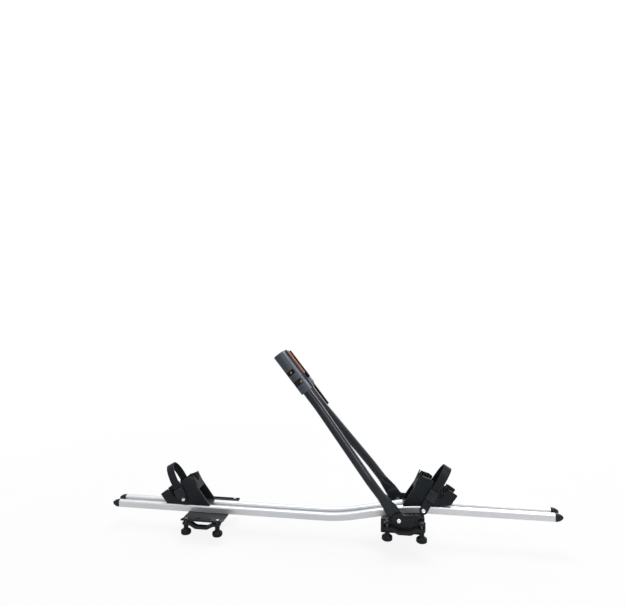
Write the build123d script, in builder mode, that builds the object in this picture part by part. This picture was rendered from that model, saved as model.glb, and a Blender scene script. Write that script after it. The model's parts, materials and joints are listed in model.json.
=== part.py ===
"""Roof mounted bike carrier: an aluminium rail on two feet, with two folding arms and two wheel holders.

All lengths are in millimetres. +X runs along the rail towards the arms' end, +Y points away from the
near side and +Z is up. The origin is the middle of the front foot's seat on its crossbar.
"""
from build123d import *
import math
import os

os.makedirs("parts", exist_ok=True)

# Clearances
body_gap = 0.3              # between curved faces of pieces that only lie near each other
running_gap = 0.06          # radial play of a shaft in its hole
press_gap = 0.02            # radial play of a sleeve fixed in its hole
guide_gap = 0.7             # between sliding guides
overrun = 1.0               # how far a cut runs past the face it opens
hexagon_sides = 6

# Rail: an extrusion with two hollow lobes and a web
rail_length = 1296.0
rail_front_reach = 416.0    # from the front seat to the front end
rail_width = 60.0
rail_height = 21.0
lobe_width = 17.0
lobe_round = 6.5
lobe_foot_round = 1.5
lobe_wall = 2.0
web_underside = 7.0
web_thickness = 3.0
top_lip_level = 14.0
top_lip_reach = 3.0
low_lip_reach = 6.0
lip_thickness = 2.0
rail_rise = 40.4
rail_bend_reach = 237.0     # from the front seat back to where the bend starts
rail_low_radius = 500.0
rail_high_radius = 500.0
rail_ramp_angle = 11.5

# End caps
cap_length = 22.0
cap_plug_length = 12.0
cap_plug_gap = 0.2
cap_neck_length = 8.0
cap_nose_width = 8.0
cap_nose_height = 7.0
cap_nose_round = 3.0
cap_shoulder_share = 0.55
cap_shoulder_size_share = 0.88

# Rear foot
plate_thickness = 3.0
seat_distance = 588.0       # between the two crossbars
rear_pad_thickness = 4.0
rear_plate_length = 125.0
rear_plate_width = 190.0
rear_step_inset = 15.0
rear_step_rise = 2.0
rear_lip_width = 2.0
rear_lip_rise = 2.5
rear_slot_length = 14.0
rear_slot_width = 4.5
rear_slot_spacing = 34.0
rear_slot_row = 74.0
rear_pad_length = 76.0
rear_pad_width = 130.0
pad_corner = 6.0

# Front foot
front_pad_thickness = 11.0
front_pad_length = 80.0
front_pad_width = 120.0
front_width = 180.0
front_wall = 3.5
front_wall_rear = 65.0
front_wall_front = 58.0
front_wall_shoulder = 40.0
front_wall_corner = 10.0
front_low_top = 46.0
front_high_top = 62.0
front_rear_top = 50.0
front_ramp_reach = 42.0
front_corner_round = 3.0
riser_width = 130.0
riser_reach = 57.0
ear_radius = 20.0
panel_rear = 9.0
panel_front = 37.0
panel_low = 18.0
panel_high = 57.0
panel_rise = 1.4
panel_round = 3.0
panel_hole_radius = 2.2
panel_hole_spacing = 13.0
panel_hole_level = 45.0
rib_place = 47.0
rib_width = 5.0
bracket_width = 17.0
bracket_half = 10.0
bracket_thickness = 3.5
bracket_round = 5.0

# Studs, claws and clamp knobs
stud_radius = 3.0
stud_head_radius = 4.8
stud_head_height = 4.0
stud_hole_gap = 0.3
stud_end_inset = 1.0
front_stud_half = 47.0
front_stud_row = 98.5
rear_stud_half = 48.0
rear_stud_row = 88.0
claw_width = 14.0
claw_end_reach = 9.0
claw_end_round = 3.0
claw_thickness = 9.0
claw_bow = 10.0
claw_shoulder = 14.0
claw_slope = 18.0
claw_bend_round = 16.0
claw_groove_width = 7.0
claw_groove_depth = 3.5
claw_hole_gap = 0.2
front_claw_level = 23.0     # underside of the front claws' ends above the seat
rear_claw_drop = 6.0        # underside of the rear claws' ends below the seat
knob_height = 28.0
knob_head_height = 13.0
knob_head_radius = 15.0
knob_hub_radius = 7.0
knob_edge = 2.5
knob_grip_count = 7
knob_grip_radius = 6.0
knob_grip_depth = 2.0
knob_bore_gap = 0.5
insert_wall = 1.6
insert_length = 10.0

# Bolts between rail and feet
rail_bolt_radius = 3.0
rail_bolt_hole_gap = 0.3
rail_nut_length = 14.0
rail_nut_width = 22.0
rail_nut_height = 3.6
rail_bolt_head_radius = 5.5
rail_bolt_head_height = 2.4
rail_bolt_pocket_gap = 1.0
front_bolt_back = 20.0
front_bolt_ahead = 40.0
rear_bolt_half = 25.0

# Arms
pivot_back = 15.0           # from the front seat back to the arms' pivot
pivot_level = 46.0
arm_lean_angle = 51.5
arm_tube_radius = 13.0
arm_tube_bore = 11.2
arm_foot_offset = 81.5      # from the middle plane to the flattened lower end
arm_top_offset = 29.0       # from the middle plane to the tube inside the jaw
arm_bend_start = 110.0
arm_bend_radius = 180.0
arm_bend_angle = 12.0
arm_tube_start = 80.0
arm_tube_end = 458.0
arm_neck = 60.0
arm_neck_half_width = 15.5
arm_neck_half_depth = 7.5
blade_half_width = 18.5
blade_thickness = 5.0
blade_length = 38.0
pivot_radius = 4.0
pivot_head_radius = 7.5
pivot_head_height = 4.0
pivot_nut_radius = 7.0
pivot_nut_height = 4.5
pivot_nut_gap = 0.9
washer_radius = 9.0
washer_thickness = 1.2
far_blade_play = 0.4

# Jaws
jaw_start = 437.0
jaw_end = 576.0
jaw_low = 18.0
jaw_high = 16.0
jaw_flange = 21.0
jaw_flange_depth = 4.0
jaw_face = 2.0
jaw_side = 27.0
jaw_crown = 46.0
jaw_crown_shift = 1.0
jaw_nose_round = 3.0
jaw_socket_end = 462.0
jaw_pocket_start = 484.5
jaw_pocket_end = 570.0
jaw_pocket_half = 13.0
jaw_pocket_depth = 12.0
window_floor = 39.0
window_low = 14.0
window_high = 10.5
upper_window_start = 502.0
upper_window_end = 516.0
lower_window_start = 464.0
lower_window_end = 481.0
housing_start = 443.0
housing_end = 491.0
housing_high = 23.0
housing_low = 8.0
housing_inner = 15.0
housing_outer = 43.0
housing_round = 6.0
pad_rim_half = 16.0
pad_rim_face = 0.6
pad_rim_inset = 2.5
pad_gap = 0.1
pad_tooth_count = 11
pad_tooth_depth = 2.6
pad_tooth_width = 3.4
jaw_screw_along = 509.0
jaw_screw_across = 1.0
jaw_screw_radius = 2.2
jaw_screw_head_radius = 4.2
jaw_screw_head_height = 2.6
jaw_screw_length = 20.0
jaw_screw_slot_width = 1.2
jaw_screw_slot_depth = 1.3

# Clamp rod and lever
rod_along = 470.0
rod_across = 7.0
rod_radius = 3.0
rod_near_reach = 43.0
rod_slot_start = 466.4
rod_slot_end = 482.2
rod_slot_half = 3.5
cam_seat = 46.0
cam_seat_half = 11.0
cam_radius = 8.5
cam_slot_half = 4.6
cam_slot_reach = 6.0
barrel_radius = 4.6
barrel_half = 4.2
lever_pin_radius = 2.2
lever_half_width = 9.0
lever_tip = 364.0
lever_tip_inner = 46.5
lever_tip_outer = 53.0
lever_neck_back = 16.0
lever_neck_outer = 60.0
lever_neck_inner = 47.5
lever_edge_round = 1.5
lock_along = 376.0
lock_radius = 4.6
lock_flange_radius = 6.2
lock_flange_height = 1.2
lock_bottom = 48.0
lock_shoulder = 52.0
keyway_length = 6.0
keyway_width = 1.4
keyway_depth = 2.0

# Wheel holders, measured from the foot of the steep end on top of the rail
rear_holder_back = 584.0
front_touch_reach = 30.0
front_touch_along = 34.0
holder_length = 159.0
holder_height = 84.0
holder_half_width = 28.0
holder_wall = 4.0
holder_floor = 3.0
holder_corner = 2.0
holder_key_half = 12.5
holder_key_depth = 4.4
holder_key_start = 6.0
holder_key_length = 118.0
holder_shelf = 3.0
holder_outline_shares = (
    (0.0, 0.0), (0.87, 0.0), (1.0, 0.32), (0.875, 0.5), (0.81, 0.45), (0.72, 0.26),
    (0.46, 0.28), (0.60, 0.80), (0.535, 0.905), (0.395, 1.0),
)
saddle_lean_angle = 28.0
tall_saddle_shares = (0.365, 1.06)
tall_saddle_length = 34.0
tall_saddle_depth = 42.0
tall_saddle_notch = 24.0
tall_saddle_fin_count = 5
short_saddle_shares = (0.72, 0.67)
short_saddle_length = 25.0
short_saddle_depth = 30.0
short_saddle_notch = 17.0
short_saddle_fin_count = 4
saddle_fin = 2.8
saddle_slot_depth = 19.0
saddle_notch_flat = 10.0
saddle_rim = 3.0
saddle_gap = 0.2
holder_bolt_place = 34.0
holder_bolt_radius = 3.0
holder_bolt_hole_gap = 0.3
holder_bolt_head_radius = 6.5
holder_bolt_head_height = 4.0
holder_nut_length = 20.0
holder_nut_half = 11.5
holder_nut_thickness = 2.8

# Straps and buckles
rear_buckle_shares = (0.591, 0.412)
front_buckle_shares = (0.55, 0.35)
rear_strap_angle = 30.0
front_strap_angle = 35.0
strap_width = 24.0
strap_thickness = 2.4
strap_reach = 90.0          # from the buckle's middle to the top of the arch
strap_leg = 30.0
strap_wall_gap = 1.6
strap_far_end = 28.0
rear_tail_length = 32.0
rear_tail_splay = 4.0
front_tail_length = 58.0
front_tail_splay = 14.0
strap_eye_radius = 3.4
strap_eye_inset = 10.0
buckle_length = 36.0
buckle_width = 31.0
buckle_thickness = 11.0
buckle_slot_gap = 0.35
buckle_round = 3.0
buckle_edge = 1.5
button_size = 14.0
button_proud = 2.6
button_travel = 2.0
button_gap = 0.25
button_depth = 3.4
button_edge = 1.0
strap_pin_radius = 2.6
strap_pin_head_radius = 5.5
strap_pin_head_height = 2.0
strap_pin_inset = 9.0

# Worked out from the sizes above
rear_level = rear_pad_thickness + plate_thickness
rail_rear_x = rail_front_reach - rail_length
lobe_centre = (rail_width - lobe_width) / 2
trough_width = rail_width - 2 * lobe_width
web_top = web_underside + web_thickness
ramp_turn = math.radians(rail_ramp_angle)
lean_turn = math.radians(arm_lean_angle)
arm_turn = math.radians(arm_bend_angle)
saddle_turn = math.radians(saddle_lean_angle)
front_half = front_width / 2
rear_half = rear_plate_width / 2
blade_inner = arm_foot_offset - blade_thickness / 2
front_base_top = front_pad_thickness + plate_thickness
strap_inner = holder_half_width + strap_wall_gap
lever_centre = cam_seat + cam_radius + body_gap


def s_bend(start, rise, low_radius, high_radius, turn):
    """Four tangent points of a line that leaves level, climbs by rise and ends level."""
    low_drop = low_radius * (1 - math.cos(turn))
    high_drop = high_radius * (1 - math.cos(turn))
    ramp = (rise - low_drop - high_drop) / math.sin(turn)
    first = (start[0] + low_radius * math.sin(turn), start[1] + low_drop)
    second = (first[0] + ramp * math.cos(turn), first[1] + ramp * math.sin(turn))
    end = (second[0] + high_radius * math.sin(turn), start[1] + rise)
    return start, first, second, end


# Path of the rail, drawn along the bottom of its section
bend_start, ramp_start, ramp_end, bend_end = s_bend(
    (-rail_bend_reach, rear_level), rail_rise, rail_low_radius, rail_high_radius, ramp_turn
)
crest = (bend_end[0], bend_end[1] - rail_high_radius)

# The arms: x runs across the arm to its upper side, y to the far side and z up along the arm
arm_way = Vector(-math.cos(lean_turn), 0, math.sin(lean_turn))
arm_upper = Vector(math.sin(lean_turn), 0, math.cos(lean_turn))
pivot = Vector(-pivot_back, 0, pivot_level)
arm_bend = s_bend(
    (arm_bend_start, 0.0), arm_foot_offset - arm_top_offset, arm_bend_radius, arm_bend_radius, arm_turn
)

# The wheel holders: x runs from the steep end to the rail's end and z away from the rail
front_tilt = math.asin((crest[0] - front_touch_reach) / rail_high_radius)
tilt_way = Vector(math.cos(front_tilt), 0, math.sin(front_tilt))
tilt_up = Vector(-math.sin(front_tilt), 0, math.cos(front_tilt))
front_touch = Vector(crest[0], 0, crest[1]) + tilt_up * (rail_high_radius + rail_height + body_gap)
front_holder_plane = Plane(
    origin=front_touch - tilt_way * front_touch_along, x_dir=tilt_way, z_dir=tilt_up
)
rear_holder_plane = Plane(
    origin=(-rear_holder_back, 0, rear_level + rail_height), x_dir=(-1, 0, 0), z_dir=(0, 0, 1)
)


def save(part, name):
    """Label a finished piece and write it under its own name."""
    part.label = name
    export_step(part, f"parts/{name}.step")


def mirrored(points):
    """A closed outline from the points of its right half, listed from the bottom up."""
    return points + [(-x, y) for x, y in reversed(points)]


def across_arm(along):
    """The cross section of the arms at a distance along them."""
    return Plane(origin=pivot + arm_way * along, x_dir=arm_upper, z_dir=arm_way)


def arm_block(start, end, low, high, inner, outer):
    """A block given along the arm, across it and from the middle plane outwards."""
    with BuildPart() as block:
        with BuildSketch(across_arm(start)):
            with Locations(((low + high) / 2, (inner + outer) / 2)):
                Rectangle(high - low, abs(outer - inner))
        extrude(amount=end - start)
    return block.part


def arm_pin(along, across, inner, outer, radius):
    """A cylinder that crosses the arms, between two distances from the middle plane."""
    with BuildPart() as pin:
        centre = pivot + arm_way * along + arm_upper * across
        with BuildSketch(Plane(origin=centre + Vector(0, inner, 0), x_dir=arm_upper, z_dir=(0, 1, 0))):
            Circle(radius)
        extrude(amount=outer - inner)
    return pin.part


def lobe_face(width, height, top_round, foot_round):
    """A lobe's outline, standing on the sketch's x axis."""
    with BuildSketch() as face:
        Rectangle(width, height, align=(Align.CENTER, Align.MIN))
        fillet(face.vertices().group_by(Axis.Y)[-1], top_round)
        fillet(face.vertices().group_by(Axis.Y)[0], foot_round)
    return face.sketch


# Rail
with BuildPart() as rail:
    with BuildLine(Plane.XZ):
        Line((rail_rear_x, rear_level), bend_start)
        JernArc(bend_start, (1, 0), rail_low_radius, rail_ramp_angle)
        Line(ramp_start, ramp_end)
        JernArc(ramp_end, (math.cos(ramp_turn), math.sin(ramp_turn)), rail_high_radius, -rail_ramp_angle)
        Line(bend_end, (rail_front_reach, bend_end[1]))
    with BuildSketch(Plane((rail_rear_x, 0, rear_level), x_dir=(0, 1, 0), z_dir=(1, 0, 0))):
        with GridLocations(2 * lobe_centre, 0, 2, 1):
            add(lobe_face(lobe_width, rail_height, lobe_round, lobe_foot_round))
        with Locations((0, web_underside)):
            Rectangle(trough_width + 2 * lobe_wall, web_thickness, align=(Align.CENTER, Align.MIN))
        for side in (-1, 1):
            with Locations((side * (trough_width - top_lip_reach) / 2, top_lip_level)):
                Rectangle(top_lip_reach, lip_thickness, align=(Align.CENTER, Align.MIN))
            with Locations((side * (trough_width - low_lip_reach) / 2, 0)):
                Rectangle(low_lip_reach, lip_thickness, align=(Align.CENTER, Align.MIN))
            with Locations((side * lobe_centre, lobe_wall)):
                add(
                    lobe_face(
                        lobe_width - 2 * lobe_wall, rail_height - 2 * lobe_wall,
                        lobe_round - lobe_wall, lobe_foot_round,
                    ),
                    mode=Mode.SUBTRACT,
                )
    sweep()
save(rail.part, "rail")


def end_cap(x, level, outward):
    """A plastic cap with two bullet-shaped lobes, a neck and plugs that fill the rail's tubes."""
    shoulder = cap_shoulder_size_share
    nose_sections = (
        (0, lobe_width, rail_height, lobe_round, lobe_foot_round),
        (cap_length * cap_shoulder_share, lobe_width * shoulder, rail_height * shoulder,
         lobe_round * shoulder, lobe_foot_round + cap_nose_round / 2),
        (cap_length, cap_nose_width, cap_nose_height, cap_nose_round, cap_nose_round),
    )
    with BuildPart() as cap:
        for side in (-1, 1):
            for distance, width, height, top_round, low_round in nose_sections:
                section_level = level + (rail_height - height) / 2
                start = (x + outward * distance, side * lobe_centre, section_level)
                with BuildSketch(Plane(start, x_dir=(0, outward, 0), z_dir=(outward, 0, 0))):
                    add(lobe_face(width, height, top_round, low_round))
            loft()
            start = (x - outward * cap_plug_length, side * lobe_centre, level + lobe_wall + cap_plug_gap)
            with BuildSketch(Plane(start, x_dir=(0, outward, 0), z_dir=(outward, 0, 0))):
                add(
                    lobe_face(
                        lobe_width - 2 * lobe_wall - 2 * cap_plug_gap,
                        rail_height - 2 * lobe_wall - 2 * cap_plug_gap,
                        lobe_round - lobe_wall, lobe_foot_round,
                    )
                )
            extrude(amount=cap_plug_length)
        with BuildSketch(Plane((x, 0, level), x_dir=(0, outward, 0), z_dir=(outward, 0, 0))):
            Rectangle(trough_width + lobe_width, web_top, align=(Align.CENTER, Align.MIN))
        extrude(amount=cap_neck_length)
    return cap.part


save(end_cap(rail_front_reach, bend_end[1], 1), "front_end_cap")
save(end_cap(rail_rear_x, rear_level, -1), "rear_end_cap")

# Rear foot: a flat plate whose near and far edges step up and end in a low lip
step_start = rear_half - rear_step_inset
step_end = step_start + rear_step_rise
strip_top = rear_step_rise + plate_thickness
lip_top = strip_top + rear_lip_rise
with BuildPart() as rear_foot:
    rear_edge = (-seat_distance - rear_plate_length / 2, 0, rear_pad_thickness)
    with BuildSketch(Plane(rear_edge, x_dir=(0, 1, 0), z_dir=(1, 0, 0))):
        with BuildLine():
            Polyline(
                *mirrored([(step_start, 0), (step_end, rear_step_rise), (rear_half, rear_step_rise),
                           (rear_half, lip_top), (rear_half - rear_lip_width, lip_top),
                           (rear_half - rear_lip_width, strip_top), (step_end, strip_top),
                           (step_start, plate_thickness)]),
                close=True,
            )
        make_face()
    extrude(amount=rear_plate_length)
    with BuildSketch(Plane((-seat_distance, 0, 0))):
        with GridLocations(2 * rear_stud_half, 2 * rear_stud_row, 2, 2):
            Circle(stud_radius + stud_hole_gap)
        with GridLocations(2 * rear_bolt_half, 0, 2, 1):
            Circle(rail_bolt_radius + rail_bolt_hole_gap)
        with GridLocations(rear_slot_spacing, 2 * rear_slot_row, 2, 2):
            SlotOverall(rear_slot_length, rear_slot_width)
    extrude(amount=rear_level + lip_top, mode=Mode.SUBTRACT)
save(rear_foot.part, "rear_foot")


def below_rail(drop, floor):
    """Side view of the space under the rail's upper bend: its top stays the same distance below it."""
    radius = rail_high_radius - drop
    joint = (crest[0] - radius * math.sin(ramp_turn), crest[1] + radius * math.cos(ramp_turn))
    rear_top = (-riser_reach, joint[1] - (joint[0] + riser_reach) * math.tan(ramp_turn))
    middle_x = (joint[0] + riser_reach) / 2
    middle = (middle_x, crest[1] + math.sqrt(radius**2 - (crest[0] - middle_x) ** 2))
    front_top = (riser_reach, crest[1] + math.sqrt(radius**2 - (crest[0] - riser_reach) ** 2))
    with BuildSketch(Plane.XZ) as face:
        with BuildLine():
            Polyline(front_top, (riser_reach, floor), (-riser_reach, floor), rear_top, joint)
            ThreePointArc(joint, middle, front_top)
        make_face()
    return face.sketch


def rail_spot(x):
    """The frame at the underside of the rail's upper bend: x along the rail and z square to it."""
    slope = math.asin((crest[0] - x) / rail_high_radius)
    level = crest[1] + math.sqrt(rail_high_radius**2 - (crest[0] - x) ** 2)
    return Plane(
        (x, 0, level), x_dir=(math.cos(slope), 0, math.sin(slope)),
        z_dir=(-math.sin(slope), 0, math.cos(slope)),
    )


front_bolt_spots = [rail_spot(-front_bolt_back), rail_spot(front_bolt_ahead)]

# Front foot: a base, two side walls that carry the arms, brackets for the studs and a riser for the rail
panel_middle = (panel_rear + panel_front) / 2
rib_top = front_low_top - bracket_thickness
with BuildPart() as front_foot:
    with BuildSketch(Plane.XZ) as wall_outline:
        with BuildLine():
            Polyline(
                (-front_wall_rear, front_pad_thickness),
                (front_wall_front - front_wall_corner, front_pad_thickness),
                (front_wall_front, front_pad_thickness + front_wall_corner),
                (front_wall_front, front_low_top), (front_wall_shoulder, front_low_top),
                (front_wall_shoulder, front_high_top), (-pivot_back, front_high_top),
                (-front_ramp_reach, front_rear_top), (-front_wall_rear, front_rear_top),
                close=True,
            )
        make_face()
        fillet(wall_outline.vertices(), front_corner_round)
        with Locations((-pivot_back, pivot_level)):
            Circle(ear_radius)
    extrude(amount=front_half, both=True)
    with BuildSketch(Plane.XZ):
        with Locations((-front_wall_rear - overrun, front_base_top)):
            Rectangle(
                front_wall_rear + front_wall_front + 2 * overrun, front_high_top,
                align=(Align.MIN, Align.MIN),
            )
    extrude(amount=front_half - front_wall, both=True, mode=Mode.SUBTRACT)
    extrude(below_rail(body_gap, front_pad_thickness), amount=riser_width / 2, both=True)
    extrude(
        below_rail(body_gap + plate_thickness, front_base_top),
        amount=riser_width / 2 - plate_thickness, both=True, mode=Mode.SUBTRACT,
    )
    for side in (-1, 1):
        for end in (-1, 1):
            with BuildSketch(Plane((end * front_stud_half, side * front_half, front_low_top))) as bracket:
                Rectangle(
                    2 * bracket_half, bracket_width,
                    align=(Align.CENTER, Align.MIN if side > 0 else Align.MAX),
                )
                corners = bracket.vertices().sort_by(Axis.Y)
                fillet(corners[-2:] if side > 0 else corners[:2], bracket_round)
            extrude(amount=-bracket_thickness)
        with BuildSketch(Plane((0, side * front_half, 0), x_dir=(1, 0, 0), z_dir=(0, -1, 0))):
            with Locations((panel_middle, (panel_low + panel_high) / 2)):
                RectangleRounded(panel_front - panel_rear, panel_high - panel_low, panel_round)
            with Locations((-rib_place, (front_base_top + rib_top) / 2)):
                Rectangle(rib_width, rib_top - front_base_top)
        extrude(amount=-side * panel_rise)
    with BuildSketch(Plane.XZ):
        with Locations((panel_middle, panel_hole_level)):
            with GridLocations(panel_hole_spacing, 0, 2, 1):
                Circle(panel_hole_radius)
        with Locations((-pivot_back, pivot_level)):
            Circle(pivot_radius + press_gap)
    extrude(amount=front_half + panel_rise + overrun, both=True, mode=Mode.SUBTRACT)
    with BuildSketch(Plane((0, 0, front_base_top))):
        with GridLocations(2 * front_stud_half, 2 * front_stud_row, 2, 2):
            Circle(stud_radius + stud_hole_gap)
    extrude(amount=front_low_top, mode=Mode.SUBTRACT)
    for spot in front_bolt_spots:
        with BuildSketch(spot):
            Circle(rail_bolt_radius + rail_bolt_hole_gap)
        extrude(amount=-(body_gap + plate_thickness + overrun), mode=Mode.SUBTRACT)
save(front_foot.part, "front_foot")

# Rubber seat pads
with BuildPart() as front_seat_pad:
    with BuildSketch():
        RectangleRounded(front_pad_length, front_pad_width, pad_corner)
    extrude(amount=front_pad_thickness)
save(front_seat_pad.part, "front_seat_pad")

with BuildPart() as rear_seat_pad:
    with BuildSketch(Plane((-seat_distance, 0, 0))):
        RectangleRounded(rear_pad_length, rear_pad_width, pad_corner)
    extrude(amount=rear_pad_thickness)
    with BuildSketch(Plane((-seat_distance, 0, rear_pad_thickness))):
        with GridLocations(2 * rear_bolt_half, 0, 2, 1):
            Circle(rail_bolt_head_radius + rail_bolt_pocket_gap)
    extrude(amount=-(rail_bolt_head_height + body_gap), mode=Mode.SUBTRACT)
save(rear_seat_pad.part, "rear_seat_pad")


def rail_bolts(spots, grip):
    """Bolts with nuts in the rail's slot and low heads under the plate that they hold."""
    with BuildPart() as group:
        for spot in spots:
            with BuildSketch(spot.offset(lip_thickness + running_gap)):
                Rectangle(rail_nut_length, rail_nut_width)
            extrude(amount=rail_nut_height)
            with BuildSketch(spot.offset(-grip)):
                Circle(rail_bolt_radius)
            extrude(amount=grip + lip_thickness + rail_nut_height)
            with BuildSketch(spot.offset(-grip)):
                Circle(rail_bolt_head_radius)
            extrude(amount=-rail_bolt_head_height)
    return group.part


rear_bolt_spots = [Plane((-seat_distance + end * rear_bolt_half, 0, rear_level)) for end in (-1, 1)]
save(rail_bolts(front_bolt_spots, 2 * body_gap + plate_thickness), "front_foot_bolts")
save(rail_bolts(rear_bolt_spots, plate_thickness), "rear_foot_bolts")


def studs(x, half, row, top, low):
    """Four studs with hexagonal heads on top of their foot."""
    with BuildPart() as group:
        with BuildSketch(Plane((x, 0, low))):
            with GridLocations(2 * half, 2 * row, 2, 2):
                Circle(stud_radius)
        extrude(amount=top - low)
        with BuildSketch(Plane((x, 0, top))):
            with GridLocations(2 * half, 2 * row, 2, 2):
                RegularPolygon(stud_head_radius, hexagon_sides)
        extrude(amount=stud_head_height)
    return group.part


front_stud_low = front_claw_level - knob_height + stud_end_inset
rear_stud_low = -rear_claw_drop - knob_height + stud_end_inset
save(studs(0, front_stud_half, front_stud_row, front_low_top, front_stud_low), "front_studs")
save(
    studs(-seat_distance, rear_stud_half, rear_stud_row, rear_pad_thickness + strip_top, rear_stud_low),
    "rear_studs",
)


def claw_side(half):
    """A claw's side view: level ends with a bow between them."""
    bend = half - claw_shoulder
    reach = half + claw_end_reach
    inset = claw_thickness * math.tan(math.atan2(claw_bow, claw_slope) / 2)
    with BuildSketch() as face:
        with BuildLine():
            Polyline(
                *mirrored([(bend - claw_slope + inset, -claw_bow), (bend + inset, 0), (reach, 0),
                           (reach, claw_thickness), (bend, claw_thickness),
                           (bend - claw_slope, claw_thickness - claw_bow)]),
                close=True,
            )
        make_face()
        fillet(face.vertices().filter_by(lambda v: abs(v.X) > reach - overrun), claw_end_round)
        fillet(face.vertices().filter_by(lambda v: abs(v.X) < half), claw_bend_round)
    return face.sketch


def claw(x, half, row, level):
    """A curved lower claw with a groove along its underside and a hole at each end."""
    with BuildPart() as bar:
        with BuildSketch(Plane((x, row, level), x_dir=(1, 0, 0), z_dir=(0, -1, 0))):
            add(claw_side(half))
        extrude(amount=claw_width / 2, both=True)
        groove_level = level - claw_thickness + claw_groove_depth
        with BuildSketch(Plane((x, row, groove_level), x_dir=(1, 0, 0), z_dir=(0, -1, 0))):
            add(claw_side(half))
        extrude(amount=claw_groove_width / 2, both=True, mode=Mode.SUBTRACT)
        with BuildSketch(Plane((x, row, level - overrun))):
            with GridLocations(2 * half, 0, 2, 1):
                Circle(stud_radius + claw_hole_gap)
        extrude(amount=claw_thickness + 2 * overrun, mode=Mode.SUBTRACT)
    return bar.part


def knob(x, y, top):
    """A clamp knob: a hub with a flared, lobed head and a stepped bore for insert and stud."""
    insert_radius = stud_radius + running_gap + insert_wall
    flare = -knob_height + knob_head_height
    with BuildPart() as grip:
        with BuildSketch(Plane((x, y, top), x_dir=(1, 0, 0), z_dir=(0, -1, 0))):
            with BuildLine():
                Polyline(
                    (insert_radius + press_gap, 0), (knob_hub_radius, 0),
                    (knob_hub_radius, flare + knob_edge),
                    (knob_hub_radius + knob_edge, flare), (knob_head_radius - knob_edge, flare),
                    (knob_head_radius, flare - knob_edge), (knob_head_radius, -knob_height + knob_edge),
                    (knob_head_radius - knob_edge, -knob_height), (stud_radius + knob_bore_gap, -knob_height),
                    (stud_radius + knob_bore_gap, -insert_length),
                    (insert_radius + press_gap, -insert_length),
                    close=True,
                )
            make_face()
        revolve(axis=Axis((x, y, top), (0, 0, 1)))
        with BuildSketch(Plane((x, y, top - knob_height))):
            with PolarLocations(knob_head_radius + knob_grip_radius - knob_grip_depth, knob_grip_count):
                Circle(knob_grip_radius)
        extrude(amount=knob_head_height, mode=Mode.SUBTRACT)
    return grip.part


def insert(x, y, top):
    """A threaded sleeve at the top of a knob."""
    with BuildPart() as sleeve:
        with BuildSketch(Plane((x, y, top - insert_length))):
            Circle(stud_radius + running_gap + insert_wall)
            Circle(stud_radius + running_gap, mode=Mode.SUBTRACT)
        extrude(amount=insert_length)
    return sleeve.part


for foot, x, half, row, level in (
    ("front", 0, front_stud_half, front_stud_row, front_claw_level),
    ("rear", -seat_distance, rear_stud_half, rear_stud_row, -rear_claw_drop),
):
    for near_far, side in (("near", -1), ("far", 1)):
        save(claw(x, half, side * row, level), f"{foot}_{near_far}_claw")
        for back_ahead, end in (("back", -1), ("ahead", 1)):
            place = f"{foot}_{near_far}_{back_ahead}"
            save(knob(x + end * half, side * row, level), f"{place}_knob")
            save(insert(x + end * half, side * row, level), f"{place}_insert")


def arm(side, hole_radius):
    """A steel tube with an S-bend and a lower end that is pressed flat for the pivot bolt."""
    foot = pivot + Vector(0, side * arm_foot_offset, 0)
    with BuildPart() as tube:
        with BuildSketch(Plane(origin=foot, x_dir=arm_way, z_dir=(0, 1, 0))):
            Circle(blade_half_width)
            Rectangle(blade_length, 2 * blade_half_width, align=(Align.MIN, Align.CENTER))
        extrude(amount=blade_thickness / 2, both=True)
        for along, half_width, half_depth in (
            (blade_length, blade_half_width, blade_thickness / 2),
            (arm_neck, arm_neck_half_width, arm_neck_half_depth),
        ):
            with BuildSketch(Plane(origin=foot + arm_way * along, x_dir=arm_upper, z_dir=arm_way)):
                Ellipse(half_width, half_depth)
        with BuildSketch(Plane(origin=foot + arm_way * arm_tube_start, x_dir=arm_upper, z_dir=arm_way)):
            Circle(arm_tube_radius)
        loft()
        bend = [(along, side * (arm_foot_offset - shift)) for along, shift in arm_bend]
        with BuildLine(Plane(origin=pivot, x_dir=arm_way, z_dir=-arm_upper)):
            Line((arm_tube_start, side * arm_foot_offset), bend[0])
            JernArc(bend[0], (1, 0), arm_bend_radius, -side * arm_bend_angle)
            Line(bend[1], bend[2])
            JernArc(
                bend[2], (math.cos(arm_turn), -side * math.sin(arm_turn)), arm_bend_radius,
                side * arm_bend_angle,
            )
            Line(bend[3], (arm_tube_end, side * arm_top_offset))
        with BuildSketch(Plane(origin=foot + arm_way * arm_tube_start, x_dir=arm_upper, z_dir=arm_way)):
            Circle(arm_tube_radius)
            Circle(arm_tube_bore, mode=Mode.SUBTRACT)
        sweep()
        with BuildSketch(Plane(origin=foot, x_dir=arm_way, z_dir=(0, 1, 0))):
            Circle(hole_radius)
        extrude(amount=blade_thickness, both=True, mode=Mode.SUBTRACT)
    return tube.part


save(arm(-1, pivot_radius + running_gap), "near_arm")
save(arm(1, pivot_radius + far_blade_play), "far_arm")

# Pivot bolts: heads outside the walls, nuts inside the blades
bolt_inner = blade_inner - pivot_nut_gap - pivot_nut_height
with BuildPart() as pivot_bolts:
    for side in (-1, 1):
        inner_end = Plane(origin=pivot + Vector(0, side * bolt_inner, 0), x_dir=(1, 0, 0), z_dir=(0, side, 0))
        with BuildSketch(inner_end):
            Circle(pivot_radius)
        extrude(amount=front_half - bolt_inner)
        with BuildSketch(inner_end):
            RegularPolygon(pivot_nut_radius, hexagon_sides)
        extrude(amount=pivot_nut_height)
        with BuildSketch(inner_end.offset(front_half - bolt_inner)):
            Circle(pivot_head_radius)
        extrude(amount=pivot_head_height)
    head_rims = pivot_bolts.edges().filter_by(GeomType.CIRCLE).sort_by(Axis.Y)
    fillet([head_rims[0], head_rims[-1]], pivot_head_height / 2)
save(pivot_bolts.part, "pivot_bolts")

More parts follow.
